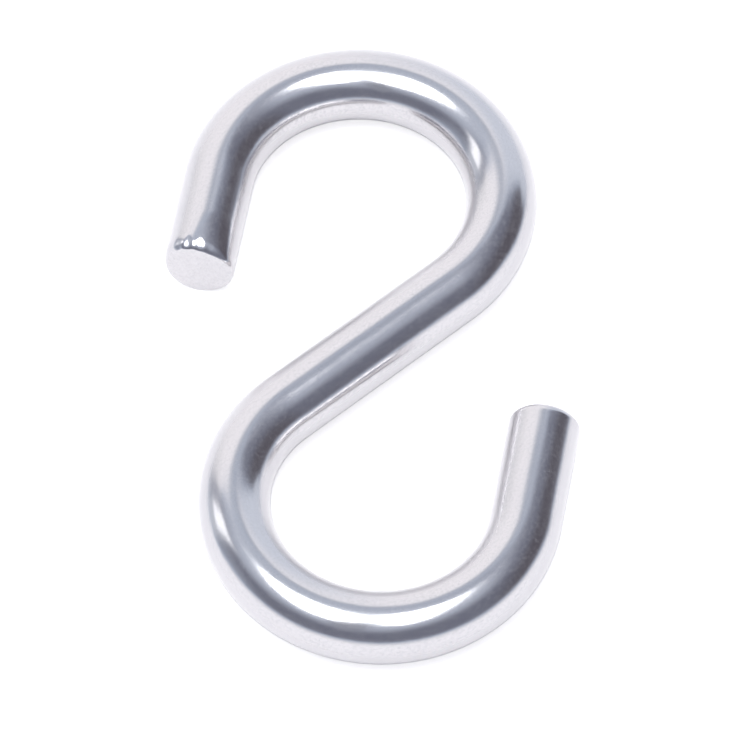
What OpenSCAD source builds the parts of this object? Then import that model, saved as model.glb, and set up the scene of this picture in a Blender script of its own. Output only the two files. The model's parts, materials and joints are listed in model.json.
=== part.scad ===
// S hook, cold bent from one length of round steel wire.
// It lies flat: both bows are in the XY plane, and the upper bow points along +Y.
// The origin is the middle of the shank, on the surface that the hook lies on.

/* [Wire] */
// Diameter of the wire
wire_d = 3; // [2:0.1:4]
// Radius of the rolled edge around each cut end
end_edge_r = 0.25; // [0.1:0.05:0.6]

/* [Bows] */
// Radius of the seat inside the upper bow
upper_bow_r = 4.5; // [3:0.1:7]
// Radius of the seat inside the lower bow
lower_bow_r = 4.5; // [3:0.1:7]
// Angle through which the upper bow turns back over the shank, in degrees
upper_bow_turn = 219.5; // [190:0.5:230]
// Angle through which the lower bow turns back under the shank, in degrees
lower_bow_turn = 219.5; // [190:0.5:230]

/* [Straight lengths] */
// Length of the straight shank between the two bows
shank_length = 9; // [5:0.5:16]
// Length of the straight tip past the upper bow, to its cut end
upper_tip_length = 4.7; // [2:0.1:7]
// Length of the straight tip past the lower bow, to its cut end
lower_tip_length = 5; // [2:0.1:7]

/* [Pose] */
// Lean of the shank away from the X axis, in degrees
shank_lean = 40.4; // [25:0.2:60]

/* [Hidden] */
$fn = 96;
wire_r = wire_d / 2;
// Each tip grows by this much on its radius as it leaves its bow, so that the two truly overlap
blend_r = 0.001;
// Length over which it does so, back into the bow
blend_length = 0.05;

// Straight shank along X, centred on the origin
module shank() {
    rotate([0, 90, 0])
        cylinder(r = wire_r, h = shank_length, center = true);
}

// Wire bent to the left from the origin, where it runs along +X
module bend(line_r, turn) {
    translate([0, line_r, 0])
        rotate_extrude(angle = turn, start = -90)
            translate([line_r, 0])
                circle(r = wire_r);
}

// Half of the section along a tip, from inside its bow to a face at the given length
module tip_section(length) {
    outer_r = wire_r + blend_r;
    core_r = outer_r - end_edge_r;
    polygon([
        [0, -blend_length],
        [wire_r - blend_r, -blend_length],
        [outer_r, 0],
        [outer_r, length - end_edge_r],
        [core_r, length - end_edge_r],
        [core_r, length],
        [0, length]
    ]);
    intersection() {
        translate([core_r, length - end_edge_r])
            circle(r = end_edge_r);
        translate([core_r, length - end_edge_r])
            square(end_edge_r);
    }
}

// Straight tip from the origin along +X, which ends in a flat cut with a rolled edge
module tip(length) {
    rotate([0, 90, 0])
        rotate_extrude()
            tip_section(length);
}

// Bow and tip of one arm, from the end of the shank at the origin
module arm(bow_r, bow_turn, tip_length) {
    line_r = bow_r + wire_r;
    bend(line_r, bow_turn);
    translate([0, line_r, 0])
        rotate([0, 0, bow_turn])
            translate([0, -line_r, 0])
                tip(tip_length);
}

// The whole hook: the lower arm is set out as the upper arm, turned half round
module s_hook() {
    color("silver")
        translate([0, 0, wire_r])
            rotate([0, 0, shank_lean]) {
                shank();
                translate([shank_length / 2, 0, 0])
                    arm(upper_bow_r, upper_bow_turn, upper_tip_length);
                rotate([0, 0, 180])
                    translate([shank_length / 2, 0, 0])
                        arm(lower_bow_r, lower_bow_turn, lower_tip_length);
            }
}

s_hook();
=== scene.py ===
"""An S hook of bright steel wire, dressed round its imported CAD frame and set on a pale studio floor."""

import json
import math

import bpy
import numpy as np
from mathutils import Matrix, Vector


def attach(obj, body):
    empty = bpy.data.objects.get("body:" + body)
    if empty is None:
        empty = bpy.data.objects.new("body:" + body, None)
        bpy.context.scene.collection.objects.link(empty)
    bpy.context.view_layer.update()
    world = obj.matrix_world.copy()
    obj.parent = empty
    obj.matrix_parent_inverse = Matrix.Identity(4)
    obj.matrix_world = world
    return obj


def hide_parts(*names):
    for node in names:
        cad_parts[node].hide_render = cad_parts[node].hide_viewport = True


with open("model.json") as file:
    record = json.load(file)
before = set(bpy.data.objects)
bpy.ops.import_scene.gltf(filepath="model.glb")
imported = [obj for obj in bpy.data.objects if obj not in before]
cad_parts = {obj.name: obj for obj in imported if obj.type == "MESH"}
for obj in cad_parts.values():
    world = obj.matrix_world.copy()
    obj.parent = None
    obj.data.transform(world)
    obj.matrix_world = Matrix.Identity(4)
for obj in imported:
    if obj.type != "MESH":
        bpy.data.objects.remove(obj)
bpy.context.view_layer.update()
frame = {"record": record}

bl_info = {
    "name": "S hook",
    "version": (1, 0, 0),
    "blender": (4, 5, 0),
    "location": "View3D > Sidebar > S hook",
    "description": "Bright steel S hook, bent from one length of round wire, and the stage it lies on",
    "category": "Object",
}

MM = 0.001

# The solid's own sizes
MOUNTS = {mount["name"]: mount for mount in frame["record"]["mounts"]}
WIRE_RADIUS = MOUNTS["upper_tip"]["dims"]["r_mm"] * MM
# Both bows bend the middle of the wire to this radius
BEND_RADIUS = MOUNTS["upper_seat"]["dims"]["r_mm"] * MM + WIRE_RADIUS
# The rounded edge of each cut end, which the mounts on the tips leave out
END_EDGE = 0.25 * MM
# The dressed wire stays this far inside the solid
SKIN = 0.002 * MM

# Each pair of settings holds the upper end's value, then the lower end's
UPPER, LOWER = 0, 1

# Marks of the shears. Angles go round the wire, from its right side up over the top.
# The rolled edge is widest a quarter turn past ROLL_TURN, and its length falls off faster than its depth
ROLL_TURN = math.radians(42)
ROLL_FALL = 1.2
# Ripples in the rolled edge, which die out on both sides of WAVE_TURN and show more in its length
WAVE_TURN, WAVE_SPREAD = math.radians(104), 0.45
WAVES_ROUND = 18
WAVE_LENGTH_TO_DEPTH = 6
# The pressed flat, which fades on both sides of PRESS_TURN and back from the cut
PRESS_TURN, PRESS_SPREAD = math.radians(67), math.radians(34)
PRESS_LENGTH = 1.9 * MM

# Fineness of the wire's mesh
STATION_STEP = 0.16 * MM
AROUND = 192
PRESS_STEPS, EDGE_STEPS, FACE_STEPS = 16, 16, 10

# Colours of the surroundings, besides those in the settings
LEFT_WALL = (0.31, 0.345, 0.425)
CEILING = (0.465, 0.515, 0.62)
LEFT_CLOTH = (0.88, 0.89, 0.93)
CLOTH_TOP, CLOTH_TOP_UNDER_LAMPS = (0.345, 0.385, 0.475), (0.42, 0.47, 0.56)
CLOTH_HEM = (0.47, 0.55, 0.69)
SLIT, SLIT_SIDE = (0.6, 0.64, 0.72), (0.36, 0.385, 0.46)
HIGH_HORIZON, LOW_HORIZON = (0.49, 0.56, 0.69), (0.93, 0.94, 1.0)
BLACK, WHITE = (0.0, 0.0, 0.0), (1.0, 1.0, 1.0)

# Oval lamps overhead: the name, then the place to the right and behind, the width and the depth
# as shares of the lamps' height, and the turn in degrees
OVERHEAD_LAMPS = (
    ("overhead_left", -0.3, -0.105, 0.5, 0.74, -6),
    ("overhead_right", 0.135, -0.13, 0.33, 0.72, -2),
)


def mount_place(name):
    """Position and direction of one of the record's mounts, in metres."""
    mount = MOUNTS[name]
    return Vector(mount["pos_m"]), Vector(mount["axis"]).normalized()


def direction(azimuth, elevation):
    """Unit vector to a place in the room, in degrees: azimuth 0 is in front and 90 on the right."""
    turn, rise = math.radians(azimuth), math.radians(elevation)
    return Vector((math.sin(turn) * math.cos(rise), -math.cos(turn) * math.cos(rise), math.sin(rise)))


# -------------------------------------------------------------- settings


class HookWireSettings(bpy.types.PropertyGroup):
    """Shape and finish of the bent wire."""

    roll_depth: bpy.props.FloatVectorProperty(
        name="Depth of the rolled edges",
        description="How far the rolled edge of the upper and of the lower end cuts into the radius",
        default=(0.26 * MM, 0.4 * MM),
        size=2,
        min=0.05 * MM,
        max=0.6 * MM,
        precision=5,
        subtype="TRANSLATION",
        unit="LENGTH",
    )
    roll_length: bpy.props.FloatVectorProperty(
        name="Length of the rolled edges",
        description="How far back from the cut the rolled edge of the upper and of the lower end begins",
        default=(0.58 * MM, 0.4 * MM),
        size=2,
        min=0.05 * MM,
        max=1.0 * MM,
        precision=5,
        subtype="TRANSLATION",
        unit="LENGTH",
    )
    roll_wave: bpy.props.FloatVectorProperty(
        name="Waviness of the rolled edges",
        description="Share by which the rolled edge of the upper and of the lower end swells",
        default=(0.24, 0.02),
        size=2,
        min=0.0,
        max=0.5,
    )
    sheared_edge: bpy.props.FloatVectorProperty(
        name="Sheared edges",
        description="Radius left on the lower side of the upper and of the lower cut",
        default=(0.1 * MM, 0.29 * MM),
        size=2,
        min=0.05 * MM,
        max=0.6 * MM,
        precision=5,
        subtype="TRANSLATION",
        unit="LENGTH",
    )
    press_depth: bpy.props.FloatVectorProperty(
        name="Depth of the flats",
        description="Depth at the cut of the flat that the shears pressed into the upper and the lower end",
        default=(0.22 * MM, 0.0),
        size=2,
        min=0.0,
        max=0.4 * MM,
        precision=5,
        subtype="TRANSLATION",
        unit="LENGTH",
    )
    cut_slant: bpy.props.FloatVectorProperty(
        name="Slant of the cuts",
        description="How far the top of the upper and of the lower cut face stands back from its bottom",
        default=(0.22 * MM, -0.08 * MM),
        size=2,
        min=-0.5 * MM,
        max=0.5 * MM,
        precision=5,
        subtype="TRANSLATION",
        unit="LENGTH",
    )
    steel: bpy.props.FloatVectorProperty(
        name="Steel",
        description="Colour that the bright wire gives to what it reflects",
        default=(0.815, 0.787, 0.79),
        size=3,
        min=0.0,
        max=1.0,
        subtype="COLOR",
    )
    polish: bpy.props.FloatProperty(
        name="Roughness",
        description="Roughness of the polished wire",
        default=0.165,
        min=0.0,
        max=1.0,
        subtype="FACTOR",
    )


class HookStageSettings(bpy.types.PropertyGroup):
    """Floor, surroundings and camera."""

    floor: bpy.props.FloatVectorProperty(
        name="Floor",
        description="Colour of the floor",
        default=(0.985, 0.958, 0.945),
        size=3,
        min=0.0,
        max=1.0,
        subtype="COLOR",
    )
    # Painted shadow: the darker colour of the floor close under the wire, as the wire reflects it
    painted_floor_shadow: bpy.props.FloatVectorProperty(
        name="Floor close to the wire",
        description="Colour that the wire reflects of the floor close under it",
        default=(0.82, 0.825, 0.85),
        size=3,
        min=0.0,
        max=1.0,
        subtype="COLOR",
    )
    room: bpy.props.FloatVectorProperty(
        name="Room",
        description="Colour of the dim room round the stage",
        default=(0.17, 0.182, 0.238),
        size=3,
        min=0.0,
        max=1.0,
        subtype="COLOR",
    )
    shade: bpy.props.FloatVectorProperty(
        name="Dark corner",
        description="Colour of the darkest side of the room",
        default=(0.108, 0.103, 0.126),
        size=3,
        min=0.0,
        max=1.0,
        subtype="COLOR",
    )
    backdrop: bpy.props.FloatVectorProperty(
        name="Backdrop",
        description="Colour of the lit backdrop behind the object",
        default=(1.0, 1.0, 1.05),
        size=3,
        min=0.0,
        max=2.0,
        subtype="COLOR",
    )
    backdrop_cool: bpy.props.FloatVectorProperty(
        name="Backdrop in shade",
        description="Colour of the backdrop's dimmer right half",
        default=(0.687, 0.745, 0.854),
        size=3,
        min=0.0,
        max=1.0,
        subtype="COLOR",
    )
    view_elevation: bpy.props.FloatProperty(
        name="Elevation",
        description="Height of the camera above the horizon, seen from the object",
        default=math.radians(56.9),
        min=0.0,
        max=math.pi / 2,
        subtype="ANGLE",
        unit="ROTATION",
    )
    view_distance: bpy.props.FloatProperty(
        name="Distance",
        description="Distance from the camera to the middle of the hook",
        default=283 * MM,
        min=0.1,
        max=2.0,
        subtype="DISTANCE",
        unit="LENGTH",
    )
    focal_length: bpy.props.FloatProperty(
        name="Focal length",
        description="Focal length of the camera, in millimetres",
        default=327.2,
        min=50.0,
        max=600.0,
        subtype="DISTANCE_CAMERA",
        unit="CAMERA",
    )


# ---------------------------------------------------------- shader maths


class Socket:
    """Wraps a socket of a node tree, so that shader maths reads as plain expressions."""

    def __init__(self, tree, socket):
        self.tree = tree
        self.socket = socket

    def math(self, operation, *values):
        settings = {"operation": operation}
        return Shader.add(self.tree, "ShaderNodeMath", settings, dict(enumerate(values)))

    def __add__(self, other):
        return self.math("ADD", self, other)

    def __sub__(self, other):
        return self.math("SUBTRACT", self, other)

    def __mul__(self, other):
        return self.math("MULTIPLY", self, other)

    def __truediv__(self, other):
        return self.math("DIVIDE", self, other)

    def __radd__(self, other):
        return self.math("ADD", other, self)

    def __rsub__(self, other):
        return self.math("SUBTRACT", other, self)

    def __rmul__(self, other):
        return self.math("MULTIPLY", other, self)

    def __rtruediv__(self, other):
        return self.math("DIVIDE", other, self)

    def __neg__(self):
        return self.math("MULTIPLY", self, -1.0)

    def at_most(self, other):
        return self.math("MINIMUM", self, other)

    def at_least(self, other):
        return self.math("MAXIMUM", self, other)

    def size(self):
        return self.math("ABSOLUTE", self)

    def ramp(self, low, high):
        """Goes smoothly from 0 at low to 1 at high, whichever of the two is the greater."""
        settings = {"interpolation_type": "SMOOTHSTEP"}
        if low < high:
            inputs = {"Value": self, "From Min": low, "From Max": high}
        else:
            inputs = {"Value": self, "From Min": high, "From Max": low, "To Min": 1.0, "To Max": 0.0}
        return Shader.add(self.tree, "ShaderNodeMapRange", settings, inputs, "Result")


class Shader:
    """The node tree of one material or world."""

    def __init__(self, owner):
        owner.use_nodes = True
        self.tree = owner.node_tree
        self.tree.nodes.clear()

    @staticmethod
    def add(tree, kind, settings, inputs, output=0):
        """Adds a node: its settings come first, then the values or links of its sockets."""
        node = tree.nodes.new(kind)
        for name, value in settings.items():
            setattr(node, name, value)
        for name, value in inputs.items():
            if isinstance(value, Socket):
                tree.links.new(value.socket, node.inputs[name])
            else:
                node.inputs[name].default_value = value
        if output is None:
            return node
        return Socket(tree, node.outputs[output])

    def node(self, kind, settings=None, inputs=None, output=0):
        return self.add(self.tree, kind, settings or {}, inputs or {}, output)

    def mix(self, factor, first, second):
        """Colour that goes from first to second as factor goes from 0 to 1."""
        settings = {"data_type": "RGBA"}
        inputs = {0: factor, 6: as_colour(first), 7: as_colour(second)}
        return self.node("ShaderNodeMix", settings, inputs, 2)

    def axes(self, vector):
        """The three parts of a vector."""
        node = self.node("ShaderNodeSeparateXYZ", inputs={0: vector}, output=None)
        return [Socket(self.tree, part) for part in node.outputs]

    def end_in(self, kind, surface):
        """Ends the tree in an output node of the kind given."""
        self.node(kind, inputs={"Surface": surface}, output=None)


def as_colour(value):
    """Four numbers for a colour of three, and a socket as it is."""
    return value if isinstance(value, Socket) else (*value, 1.0)


# -------------------------------------------------------------- the wire


def bow_centre(arm):
    """Middle of the bend of one bow, found from the seat inside it."""
    seat, inward = mount_place(arm + "_seat")
    return seat + inward * MOUNTS[arm + "_seat"]["dims"]["r_mm"] * MM


def arm_route(arm):
    """Stations along the middle of one arm: half the shank, round the bow, to the cut end.

    Each is a place, the way that the wire runs there and its distance from the middle of the shank.
    """
    centre = bow_centre(arm)
    middle = (bow_centre("upper") + bow_centre("lower")) / 2
    out = centre - middle
    shank_half = math.sqrt(out.length_squared - BEND_RADIUS**2)
    lean = math.atan2(BEND_RADIUS, shank_half)
    shank_way = Matrix.Rotation(-lean, 3, "Z") @ Vector((out.x, out.y, 0)).normalized()
    tip, tip_way = mount_place(arm + "_tip")
    tip_half = MOUNTS[arm + "_tip"]["dims"]["length_mm"] * MM / 2
    tip_start = tip - tip_way * tip_half
    tip_length = 2 * tip_half + END_EDGE

    def bearing(place):
        """Angle at which a place is seen from the middle of the bow."""
        return math.atan2(*(place - centre).yx)

    bow_start = bearing(middle + shank_way * shank_half)
    bow_turn = (bearing(tip_start) - bow_start) % (2 * math.pi)

    def on_shank(distance):
        return middle + shank_way * distance, shank_way

    def on_bow(distance):
        angle = bow_start + distance / BEND_RADIUS
        spoke = Vector((math.cos(angle), math.sin(angle), 0))
        return centre + spoke * BEND_RADIUS, Vector((-spoke.y, spoke.x, 0))

    def on_tip(distance):
        return tip_start + tip_way * distance, tip_way

    stations = []
    run = 0.0
    stretches = (
        (shank_half, on_shank),
        (BEND_RADIUS * bow_turn, on_bow),
        (tip_length, on_tip),
    )
    for length, station in stretches:
        count = round(length / STATION_STEP)
        for i in range(count):
            distance = length * i / count
            stations.append((*station(distance), run + distance))
        run += length
    stations.append((*on_tip(tip_length), run))
    return stations


def wire_route():
    """Stations from the lower cut end to the upper one, with distances below 0 on the lower arm."""
    lower = [(place, -way, -run) for place, way, run in reversed(arm_route("lower"))]
    return lower[:-1] + arm_route("upper")


def cut_end(settings, arm):
    """Functions that give the rolled edge, the pressed flat and the cut plane of one end.

    They take the angle round the wire. The first gives the depth and the length of the edge, the
    second the depth of the flat at a distance from the cut, and the third how far the cut itself
    stands back at a distance from the middle of the wire.
    """
    roll_depth, roll_length = settings.roll_depth[arm], settings.roll_length[arm]
    roll_wave = settings.roll_wave[arm]
    press_depth = settings.press_depth[arm]
    slant = settings.cut_slant[arm]
    sheared = settings.sheared_edge[arm]

    def edge_at(angle):
        share = (1 + math.sin(angle - ROLL_TURN)) / 2
        off = angle - WAVE_TURN
        wave = roll_wave * math.sin(WAVES_ROUND * off) * math.exp(-((off / WAVE_SPREAD) ** 2))
        depth = sheared + (roll_depth - sheared) * share
        length = sheared + (roll_length - sheared) * share**ROLL_FALL
        return depth * (1 + wave / WAVE_LENGTH_TO_DEPTH), length * (1 + wave)

    def flat_at(angle, distance):
        off = (angle - PRESS_TURN + math.pi) % (2 * math.pi) - math.pi
        fade = max(0.0, 1 - distance / PRESS_LENGTH) ** 2
        return press_depth * fade * math.exp(-((off / PRESS_SPREAD) ** 2))

    def plane_at(angle, radius):
        rise = radius / WIRE_RADIUS * math.sin(angle)
        return slant * (1 + rise) / 2

    return edge_at, flat_at, plane_at


def end_shapes(settings, arm, outward):
    """Ring shapes from the body of the wire, over the rolled edge, to the middle of the cut.

    Each gives the radius and the offset along the wire at an angle round it. Outward is 1 where the
    route leaves the wire at this end, and -1 where it enters.
    """
    full_radius = WIRE_RADIUS - SKIN
    edge_at, flat_at, plane_at = cut_end(settings, arm)

    def on_skin(back):
        def shape(angle):
            start = edge_at(angle)[1]
            distance = start + (PRESS_LENGTH - start) * back
            radius = full_radius - flat_at(angle, distance)
            return radius, -outward * (plane_at(angle, radius) + distance)

        return shape

    def on_edge(turn):
        def shape(angle):
            depth, length = edge_at(angle)
            distance = length * (1 - math.sin(turn))
            radius = full_radius - flat_at(angle, distance) - depth * (1 - math.cos(turn))
            return radius, -outward * (plane_at(angle, radius) + distance)

        return shape

    def on_face(share):
        def shape(angle):
            radius = (full_radius - flat_at(angle, 0.0) - edge_at(angle)[0]) * share
            return radius, -outward * plane_at(angle, radius)

        return shape

    skin = [on_skin(1 - i / PRESS_STEPS) for i in range(PRESS_STEPS)]
    edge = [on_edge(math.pi / 2 * i / EDGE_STEPS) for i in range(EDGE_STEPS + 1)]
    return skin + edge + [on_face(1 - i / FACE_STEPS) for i in range(1, FACE_STEPS)]


def wire_mesh(settings):
    """Skin of the wire: one closed mesh, with the place on the straight wire kept for the finish."""
    stations = wire_route()
    first, last = stations[0], stations[-1]
    verts, straight, rings, faces = [], [], [], []

    def add_ring(station, shape):
        """One ring of points. The shape gives its radius and its offset along the wire at an angle."""
        place, way, run = station
        side = Vector((-way.y, way.x, 0))
        rings.append(len(verts))
        for i in range(AROUND):
            angle = 2 * math.pi * i / AROUND
            radius, along = shape(angle)
            across, rise = radius * math.cos(angle), radius * math.sin(angle)
            verts.append(place + way * along + side * across + Vector((0, 0, rise)))
            straight.append((run + along, across, rise))

    def round_body(angle):
        return WIRE_RADIUS - SKIN, 0.0

    for shape in reversed(end_shapes(settings, LOWER, -1)):
        add_ring(first, shape)
    end_reach = PRESS_LENGTH + max(settings.cut_slant)
    for station in stations:
        if min(station[2] - first[2], last[2] - station[2]) > end_reach:
            add_ring(station, round_body)
    for shape in end_shapes(settings, UPPER, 1):
        add_ring(last, shape)

    for near, far in zip(rings, rings[1:]):
        for i in range(AROUND):
            j = (i + 1) % AROUND
            faces.append((near + i, near + j, far + j, far + i))
    for start, outward in ((rings[0], -1), (rings[-1], 1)):
        hub = len(verts)
        verts.append(sum(verts[start : start + AROUND], Vector()) / AROUND)
        straight.append(tuple(np.mean(straight[start : start + AROUND], axis=0)))
        for i in range(AROUND):
            j = (i + 1) % AROUND
            faces.append((start + i, start + j, hub)[::outward])

    mesh = bpy.data.meshes.new("s_hook_wire")
    mesh.from_pydata(verts, [], faces)
    mesh.validate()
    mesh.polygons.foreach_set("use_smooth", [True] * len(mesh.polygons))
    layer = mesh.attributes.new("straight_wire", "FLOAT_VECTOR", "POINT")
    layer.data.foreach_set("vector", np.array(straight, np.float32).ravel())
    mesh.update()
    return mesh


def polished_wire(settings):
    """Bright drawn steel: faint lines along the wire, a soft orange peel, a fine haze, and a painted sheen
    that lightens its colour towards the outline.
    """
    clouded_steel = [part * 0.985 for part in settings.steel]
    # Lighter colour of the painted sheen, where the wire turns out of sight
    painted_rim_sheen = (1.0, 0.98, 0.965)
    flank_roughness, uneven_roughness = 0.14, 0.05
    haze_steel, haze_roughness = (0.88, 0.86, 0.86), 0.75
    haze_cover, haze_speckle, haze_cloud = 0.03, 0.45, 0.1

    material = bpy.data.materials.new("polished_wire")
    shader = Shader(material)
    on_wire = shader.node("ShaderNodeAttribute", {"attribute_name": "straight_wire"}, output="Vector")
    in_mm = shader.node("ShaderNodeVectorMath", {"operation": "SCALE"}, {0: on_wire, "Scale": 1 / MM})

    def grain(stretch, scale, detail=2.0, roughness=0.5):
        """Noise on the straight wire, in lumps of about 1/scale mm, stretched along it."""
        squeeze = {0: in_mm, 1: (1 / stretch, 1, 1)}
        squeezed = shader.node("ShaderNodeVectorMath", {"operation": "MULTIPLY"}, squeeze)
        return shader.node(
            "ShaderNodeTexNoise",
            {"noise_dimensions": "3D"},
            {"Vector": squeezed, "Scale": scale, "Detail": detail, "Roughness": roughness},
        )

    peel = grain(stretch=2.5, scale=1.6)
    cloud = grain(stretch=2.0, scale=2.5, detail=3.0)
    speckle = grain(stretch=1.2, scale=8.0, detail=3.0, roughness=0.7)
    lines = grain(stretch=30.0, scale=14.0)
    relief = {"Height": peel + 0.3 * speckle + 0.05 * lines, "Strength": 0.2, "Distance": 0.02 * MM}
    bump = shader.node("ShaderNodeBump", {}, relief, "Normal")

    def metal(colour, roughness):
        inputs = {"Base Color": as_colour(colour), "Metallic": 1.0, "Roughness": roughness, "Normal": bump}
        return shader.node("ShaderNodeBsdfPrincipled", {}, inputs, "BSDF")

    # 0 where the wire faces the eye, and 1 where it turns out of sight
    turned = shader.node("ShaderNodeLayerWeight", {}, {"Blend": 0.5}, "Facing")
    # Painted sheen: towards the outline the steel's colour is lightened, standing in for a brighter
    # reflection there
    rim = turned.ramp(0.56, 0.92)
    flank = turned.ramp(0.25, 0.5) * turned.ramp(0.9, 0.75)
    tint = shader.mix(cloud.ramp(0.3, 0.7), settings.steel, clouded_steel)
    tint = shader.mix(rim, tint, painted_rim_sheen)
    uneven = uneven_roughness * (cloud - 0.5) + uneven_roughness * (lines - 0.5)
    roughness = settings.polish + flank_roughness * flank + uneven
    patches = haze_speckle * (speckle - 0.5) + haze_cloud * (cloud - 0.5)
    haze = (haze_cover + patches).at_least(0.0)
    layers = {0: haze, 1: metal(tint, roughness), 2: metal(haze_steel, haze_roughness)}
    surface = shader.node("ShaderNodeMixShader", {}, layers, "Shader")
    shader.end_in("ShaderNodeOutputMaterial", surface)
    return material


class HookWireOperator(bpy.types.Operator):
    """Make the bent wire and its finish, in place of the plain solid"""

    bl_idname = "s_hook.make_wire"
    bl_label = "Make the wire"

    def execute(self, context):
        settings = context.scene.s_hook_wire
        piece = bpy.data.objects.new("bent_wire", wire_mesh(settings))
        context.scene.collection.objects.link(piece)
        piece.data.materials.append(polished_wire(settings))
        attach(piece, "root")
        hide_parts("s_hook")
        return {"FINISHED"}


# ------------------------------------------------------------- the stage


def studio_world(settings):
    """Soft surroundings: a dim room in front, a lit backdrop behind, and a pale horizon.

    They are painted by direction, from how far each one points to the right, behind and up.
    """
    world = bpy.data.worlds.new("studio")
    shader = Shader(world)
    towards = shader.node("ShaderNodeTexCoord", output="Generated")
    right, behind, up = shader.axes(towards)
    right_rear = right + behind

    # The room: a dark corner on the right, a paler wall on the left and a ceiling that the lamps light
    dark_corner = (right + 0.3 * behind).ramp(0.6, 0.9)
    left_wall = right.ramp(-0.8, -1.0)
    overhead = (up - 0.06 * right - 0.1 * right.at_least(0.0)).ramp(0.59, 0.87)
    ceiling = overhead * right_rear.ramp(0.85, 0.35)
    room = shader.mix(dark_corner, settings.room, settings.shade)
    room = shader.mix(left_wall, room, LEFT_WALL)
    room = shader.mix(ceiling, room, CEILING)

    # The backdrop, dimmer on the right and grey along its top
    height = up + 0.1 * right.at_most(0.0) - 0.03 * right.ramp(0.0, 0.15)
    cloth_top = shader.mix(ceiling, CLOTH_TOP, CLOTH_TOP_UNDER_LAMPS)
    cloth = shader.mix(right.ramp(-0.15, 0.4), settings.backdrop, settings.backdrop_cool)
    cloth = shader.mix(right.ramp(-0.5, -0.75), cloth, LEFT_CLOTH)
    cloth = shader.mix(height.ramp(0.75, 0.83), cloth, cloth_top)

    # The backdrop stands behind the room, with a narrow hem between the two
    low_right = up.ramp(0.42, 0.2) * right.ramp(0.2, 0.5)
    depth = behind - 0.08 * right.at_least(-0.2) + 0.12 * low_right
    colour = shader.mix(depth.ramp(0.47, 0.51), room, CLOTH_HEM)
    colour = shader.mix(depth.ramp(0.5, 0.54), colour, cloth)

    # An upright slit of light on the left, with a darker strip on its rear side
    rearward = -(behind / right.at_most(-0.3))
    left_and_low = right.ramp(-0.3, -0.5) * up.ramp(0.74, 0.62)
    slit = left_and_low * rearward.ramp(0.14, 0.26) * rearward.ramp(0.6, 0.5)
    slit_side = left_and_low * rearward.ramp(0.5, 0.6) * rearward.ramp(0.85, 0.7)
    colour = shader.mix(slit, colour, SLIT)
    colour = shader.mix(slit_side, colour, SLIT_SIDE)

    # The horizon, lower at the sides than in front, which fades out towards the backdrop
    sides = (right.size() + 0.5 * behind).ramp(0.95, 1.1)
    level = up + 0.12 * sides - 0.05 * right_rear.ramp(0.9, 1.2)
    horizon = level.ramp(0.3, 0.0) * behind.ramp(0.8, 0.4)
    colour = shader.mix(horizon.ramp(0.0, 0.55), colour, HIGH_HORIZON)
    colour = shader.mix(horizon.ramp(0.45, 1.0), colour, LOW_HORIZON)

    camera = shader.node("ShaderNodeLightPath", output="Is Camera Ray")
    colour = shader.mix(camera, colour, WHITE)
    light = shader.node("ShaderNodeBackground", {}, {"Color": colour, "Strength": 1.0})
    shader.end_in("ShaderNodeOutputWorld", light)
    return world


def floor_material(settings):
    """Pale matt board, lifted towards white for the camera, and a little for what the wire reflects.

    Close under the wire, where the ambient occlusion finds it, its reflection takes a darker colour and
    loses its lift: a painted shadow of the wire.
    """
    camera_lift, shine_lift = 0.62, 0.16
    shade_reach = 1.6 * MM

    material = bpy.data.materials.new("pale_board")
    shader = Shader(material)
    camera = shader.node("ShaderNodeLightPath", output="Is Camera Ray")
    shine = shader.node("ShaderNodeLightPath", output="Is Glossy Ray")
    occlusion = shader.node("ShaderNodeAmbientOcclusion", {"samples": 6}, {"Distance": shade_reach}, "AO")
    # Mask of the painted shadow: 1 in the open, falling to 0 close under the wire
    clear_of_painted_shadow = occlusion.ramp(0.15, 0.8)

    def board(colour, lift):
        inputs = {
            "Base Color": as_colour(colour),
            "Roughness": 0.9,
            "Specular IOR Level": 0.0,
            "Emission Color": shader.mix(lift, BLACK, WHITE),
            "Emission Strength": 1.0,
        }
        return shader.node("ShaderNodeBsdfPrincipled", {}, inputs, "BSDF")

    seen = board(settings.floor, camera_lift * camera)
    # What the wire reflects of the floor, with a painted shadow close under the wire
    shining = board(shader.mix(clear_of_painted_shadow, settings.painted_floor_shadow, settings.floor), shine_lift * clear_of_painted_shadow)
    surface = shader.node("ShaderNodeMixShader", {}, {0: shine, 1: seen, 2: shining}, "Shader")
    shader.end_in("ShaderNodeOutputMaterial", surface)
    return material


def card_material(name, colour):
    """Evenly lit card of one colour."""
    material = bpy.data.materials.new(name)
    shader = Shader(material)
    surface = shader.node("ShaderNodeEmission", {}, {"Color": as_colour(colour), "Strength": 1.0})
    shader.end_in("ShaderNodeOutputMaterial", surface)
    return material


def lay_floor(scene, settings):
    """The board that the hook lies on."""
    reach = 1.2
    board = bpy.data.meshes.new("floor")
    corners = [(-reach, -reach, 0), (reach, -reach, 0), (reach, reach, 0), (-reach, reach, 0)]
    board.from_pydata(corners, [], [(0, 1, 2, 3)])
    board.materials.append(floor_material(settings))
    floor = bpy.data.objects.new("floor", board)
    scene.collection.objects.link(floor)


def area_lamp(scene, name, shape, width, height, radiance, colour=WHITE):
    """A flat lamp that shows in the wire at the radiance given."""
    lamp = bpy.data.lights.new(name, "AREA")
    lamp.shape = shape
    lamp.size = width
    lamp.size_y = height
    lamp.color = colour
    area = width * height * (math.pi / 4 if shape == "ELLIPSE" else 1)
    lamp.energy = radiance * math.pi * area
    box = bpy.data.objects.new(name, lamp)
    scene.collection.objects.link(box)
    return box


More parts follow.
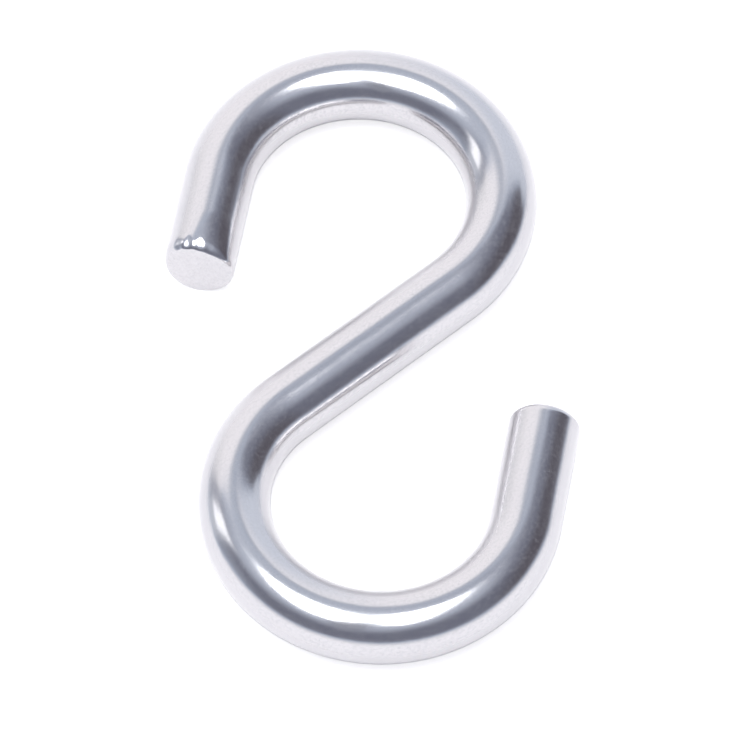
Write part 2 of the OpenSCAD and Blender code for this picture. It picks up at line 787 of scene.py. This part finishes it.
def hang_lamps(scene):
    """Two oval lamps overhead and a window on the left."""
    hanging_height = 2.0
    overhead_radiance, overhead_colour = 4.0, (0.955, 0.985, 1.0)
    window_way, window_distance = direction(-111.5, 29.5), 1.5
    window_width, window_height, window_radiance = 0.31, 0.63, 0.76

    for name, right, behind, width, depth, turn in OVERHEAD_LAMPS:
        size = width * hanging_height, depth * hanging_height
        lamp = area_lamp(scene, name, "ELLIPSE", *size, overhead_radiance, overhead_colour)
        lamp.location = (right * hanging_height, behind * hanging_height, hanging_height)
        lamp.rotation_euler = (0, 0, math.radians(turn))
    window = area_lamp(scene, "left_window", "RECTANGLE", window_width, window_height, window_radiance)
    window.location = window_way * window_distance
    window.rotation_mode = "QUATERNION"
    window.rotation_quaternion = window_way.to_track_quat("Z", "Y")


def hang_camera_hood(scene):
    """Dark oval card in front, which the wire reflects and the camera doesn't see."""
    way, distance = direction(-20, 52), 0.3
    half_width, half_height = 0.038, 0.083
    corners = 48

    side = Vector((0, 0, 1)).cross(way).normalized()
    rise = way.cross(side)
    hood = bpy.data.meshes.new("camera_hood")
    rim = [
        way * distance + side * half_width * math.cos(angle) + rise * half_height * math.sin(angle)
        for angle in np.linspace(0, 2 * math.pi, corners, endpoint=False)
    ]
    hood.from_pydata(rim, [], [tuple(range(corners))])
    hood.materials.append(card_material("dark_card", (0.27, 0.29, 0.35)))
    card = bpy.data.objects.new("camera_hood", hood)
    card.visible_camera = card.visible_shadow = card.visible_diffuse = False
    scene.collection.objects.link(card)


def set_camera(scene, settings):
    """Camera in front of the hook and above it, aimed a little right of and below its middle."""
    aim_right, aim_down = 0.22 * MM, 1.083 * MM

    back = direction(0, math.degrees(settings.view_elevation))
    rise = Vector((0, math.sin(settings.view_elevation), math.cos(settings.view_elevation)))
    aim = Vector((aim_right, 0, WIRE_RADIUS)) - rise * aim_down
    camera_data = bpy.data.cameras.new("camera")
    camera_data.lens = settings.focal_length
    camera_data.clip_start = 0.01
    camera_data.clip_end = 10
    camera = bpy.data.objects.new("camera", camera_data)
    camera.location = aim + back * settings.view_distance
    camera.rotation_mode = "QUATERNION"
    camera.rotation_quaternion = back.to_track_quat("Z", "Y")
    scene.collection.objects.link(camera)
    scene.camera = camera


class HookStageOperator(bpy.types.Operator):
    """Set out the floor, the surroundings, the lamps and the camera"""

    bl_idname = "s_hook.set_stage"
    bl_label = "Set the stage"

    def execute(self, context):
        scene = context.scene
        settings = scene.s_hook_stage
        scene.world = studio_world(settings)
        lay_floor(scene, settings)
        hang_lamps(scene)
        hang_camera_hood(scene)
        set_camera(scene, settings)
        scene.view_settings.view_transform = "Standard"
        return {"FINISHED"}


class HookPanel(bpy.types.Panel):
    """Sizes, colours and steps of the S hook"""

    bl_idname = "VIEW3D_PT_s_hook"
    bl_label = "S hook"
    bl_space_type = "VIEW_3D"
    bl_region_type = "UI"
    bl_category = "S hook"

    def draw(self, context):
        for operator, settings in (
            (HookWireOperator, context.scene.s_hook_wire),
            (HookStageOperator, context.scene.s_hook_stage),
        ):
            box = self.layout.box()
            for name in settings.__annotations__:
                box.prop(settings, name)
            box.operator(operator.bl_idname)


CLASSES = (HookWireSettings, HookStageSettings, HookWireOperator, HookStageOperator, HookPanel)


def register():
    for each in CLASSES:
        bpy.utils.register_class(each)
    bpy.types.Scene.s_hook_wire = bpy.props.PointerProperty(type=HookWireSettings)
    bpy.types.Scene.s_hook_stage = bpy.props.PointerProperty(type=HookStageSettings)


def unregister():
    del bpy.types.Scene.s_hook_stage
    del bpy.types.Scene.s_hook_wire
    for each in reversed(CLASSES):
        bpy.utils.unregister_class(each)


def main():
    register()
    bpy.ops.s_hook.make_wire()
    bpy.ops.s_hook.set_stage()


if __name__ == "__main__":
    main()
